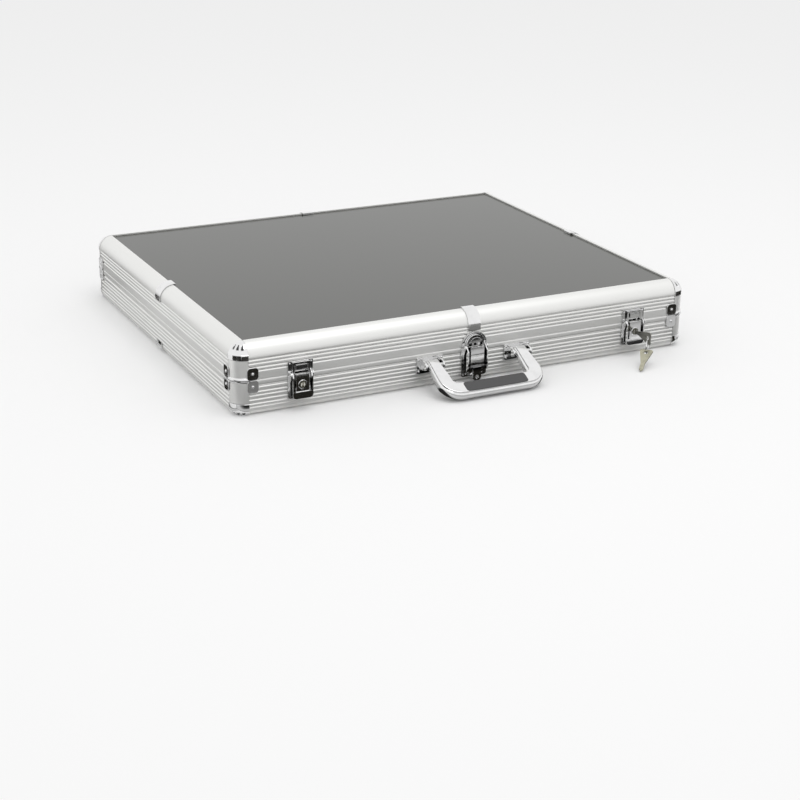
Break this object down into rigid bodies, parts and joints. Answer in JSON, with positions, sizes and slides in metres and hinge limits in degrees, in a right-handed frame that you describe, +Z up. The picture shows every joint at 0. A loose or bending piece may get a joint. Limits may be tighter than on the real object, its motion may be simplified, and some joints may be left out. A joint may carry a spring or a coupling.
{
  "type": "display case",
  "caption": "Flat aluminium carrying case with a hinged smoked-window lid, ribbed sides, chrome corners, key latches, a centre latch, keys on a ring and a swinging handle",
  "frame": {"origin": "middle of the case's underside, on the surface that it lies on", "axes": "X along the front, Y from the front to the hinges, Z up"},
  "size_m": [0.6128, 0.5788, 0.0871],
  "materials": {
    "aluminium": "satin ribbed",
    "chrome": "polished",
    "smoked_window": "dark gloss",
    "board": "matte",
    "foam": "matte foam",
    "inlay": "satin",
    "nickel": "satin nickel"
  },
  "bodies": {
    "base": {"base_panel": "board", "base_lining": "foam", "base_side_front": "aluminium", "base_side_back": "aluminium", "base_side_left": "aluminium", "base_side_right": "aluminium", "base_corner_front_left": "aluminium", "base_corner_front_right": "aluminium", "base_corner_back_left": "aluminium", "base_corner_back_right": "aluminium", "base_cap_front_left": "chrome", "base_cap_front_right": "chrome", "base_cap_back_left": "chrome", "base_cap_back_right": "chrome", "base_clip_left": "chrome", "base_clip_right": "chrome", "base_clip_back": "chrome", "hinge_left_base_leaf": "chrome", "hinge_right_base_leaf": "chrome", "handle_bracket_left": "chrome", "handle_bracket_right": "chrome", "latch_left_base_plate": "chrome", "latch_centre_base_plate": "chrome", "latch_right_base_plate": "chrome"},
    "lid": {"lid_window": "smoked_window", "lid_side_front": "aluminium", "lid_side_back": "aluminium", "lid_side_left": "aluminium", "lid_side_right": "aluminium", "lid_corner_front_left": "aluminium", "lid_corner_front_right": "aluminium", "lid_corner_back_left": "aluminium", "lid_corner_back_right": "aluminium", "lid_cap_front_left": "chrome", "lid_cap_front_right": "chrome", "lid_cap_back_left": "chrome", "lid_cap_back_right": "chrome", "lid_clip_front": "chrome", "lid_clip_back": "chrome", "lid_clip_left": "chrome", "lid_clip_right": "chrome", "hinge_left_lid_leaf": "chrome", "hinge_right_lid_leaf": "chrome", "latch_left_keeper": "chrome", "latch_centre_keeper": "chrome", "latch_right_keeper": "chrome"},
    "handle": {"handle_frame": "chrome", "handle_grip": "inlay"},
    "left_lever": {"latch_left_lever": "chrome"},
    "left_bail": {"latch_left_bail": "chrome"},
    "left_lock": {"latch_left_lock_cylinder": "nickel"},
    "right_lever": {"latch_right_lever": "chrome"},
    "right_bail": {"latch_right_bail": "chrome"},
    "right_lock": {"latch_right_lock_cylinder": "nickel"},
    "centre_lever": {"latch_centre_lever": "chrome"},
    "centre_bail": {"latch_centre_bail": "chrome"},
    "key": {"key": "nickel"},
    "key_ring": {"key_ring": "chrome"},
    "spare_key": {"spare_key": "nickel"}
  },
  "joints": [
    {"name": "lid_hinge", "type": "hinge", "parent": "base", "child": "lid", "pos_m": [0, 0.258, 0.043], "axis": [-1, 0, 0], "range_deg": [0, 178]},
    {"name": "handle_swing", "type": "hinge", "parent": "base", "child": "handle", "pos_m": [0, -0.265, 0.031], "axis": [-1, 0, 0], "range_deg": [0, 110]},
    {"name": "left_lever_swing", "type": "hinge", "parent": "base", "child": "left_lever", "pos_m": [-0.225, -0.259, 0.0435], "axis": [-1, 0, 0], "range_deg": [0, 110]},
    {"name": "left_bail_swing", "type": "hinge", "parent": "left_lever", "child": "left_bail", "pos_m": [-0.225, -0.2572, 0.0385], "axis": [-1, 0, 0], "range_deg": [-110, 0]},
    {"name": "left_lock_turn", "type": "hinge", "parent": "left_lever", "child": "left_lock", "pos_m": [-0.225, -0.2626, 0.032], "axis": [0, 1, 0], "range_deg": [0, 90]},
    {"name": "right_lever_swing", "type": "hinge", "parent": "base", "child": "right_lever", "pos_m": [0.225, -0.259, 0.0435], "axis": [-1, 0, 0], "range_deg": [0, 75]},
    {"name": "right_bail_swing", "type": "hinge", "parent": "right_lever", "child": "right_bail", "pos_m": [0.225, -0.2572, 0.0385], "axis": [-1, 0, 0], "range_deg": [-75, 0]},
    {"name": "right_lock_turn", "type": "hinge", "parent": "right_lever", "child": "right_lock", "pos_m": [0.225, -0.2626, 0.032], "axis": [0, 1, 0], "range_deg": [0, 90]},
    {"name": "centre_lever_swing", "type": "hinge", "parent": "base", "child": "centre_lever", "pos_m": [0, -0.259, 0.0435], "axis": [-1, 0, 0], "range_deg": [0, 100]},
    {"name": "centre_bail_swing", "type": "hinge", "parent": "centre_lever", "child": "centre_bail", "pos_m": [0, -0.2572, 0.0385], "axis": [-1, 0, 0], "range_deg": [-100, 0]},
    {"name": "key_pull", "type": "slide", "parent": "right_lock", "child": "key", "axis": [0, -1, 0], "range_m": [0, 0.025]},
    {"name": "ring_swing", "type": "hinge", "parent": "key", "child": "key_ring", "pos_m": [0.225, -0.2901, 0.0308], "axis": [-0.7071, -0.7071, 0], "range_deg": [0, 60]},
    {"name": "spare_key_swing", "type": "hinge", "parent": "key_ring", "child": "spare_key", "pos_m": [0.2205, -0.2946, 0.01544], "axis": [-0.2876, -0.2876, 0.9135], "range_deg": [-50, 50]}
  ],
  "couplings": [
    {"joint": "left_bail_swing", "follows": "left_lever_swing", "ratio": -1},
    {"joint": "right_bail_swing", "follows": "right_lever_swing", "ratio": -1},
    {"joint": "centre_bail_swing", "follows": "centre_lever_swing", "ratio": -1}
  ]
}
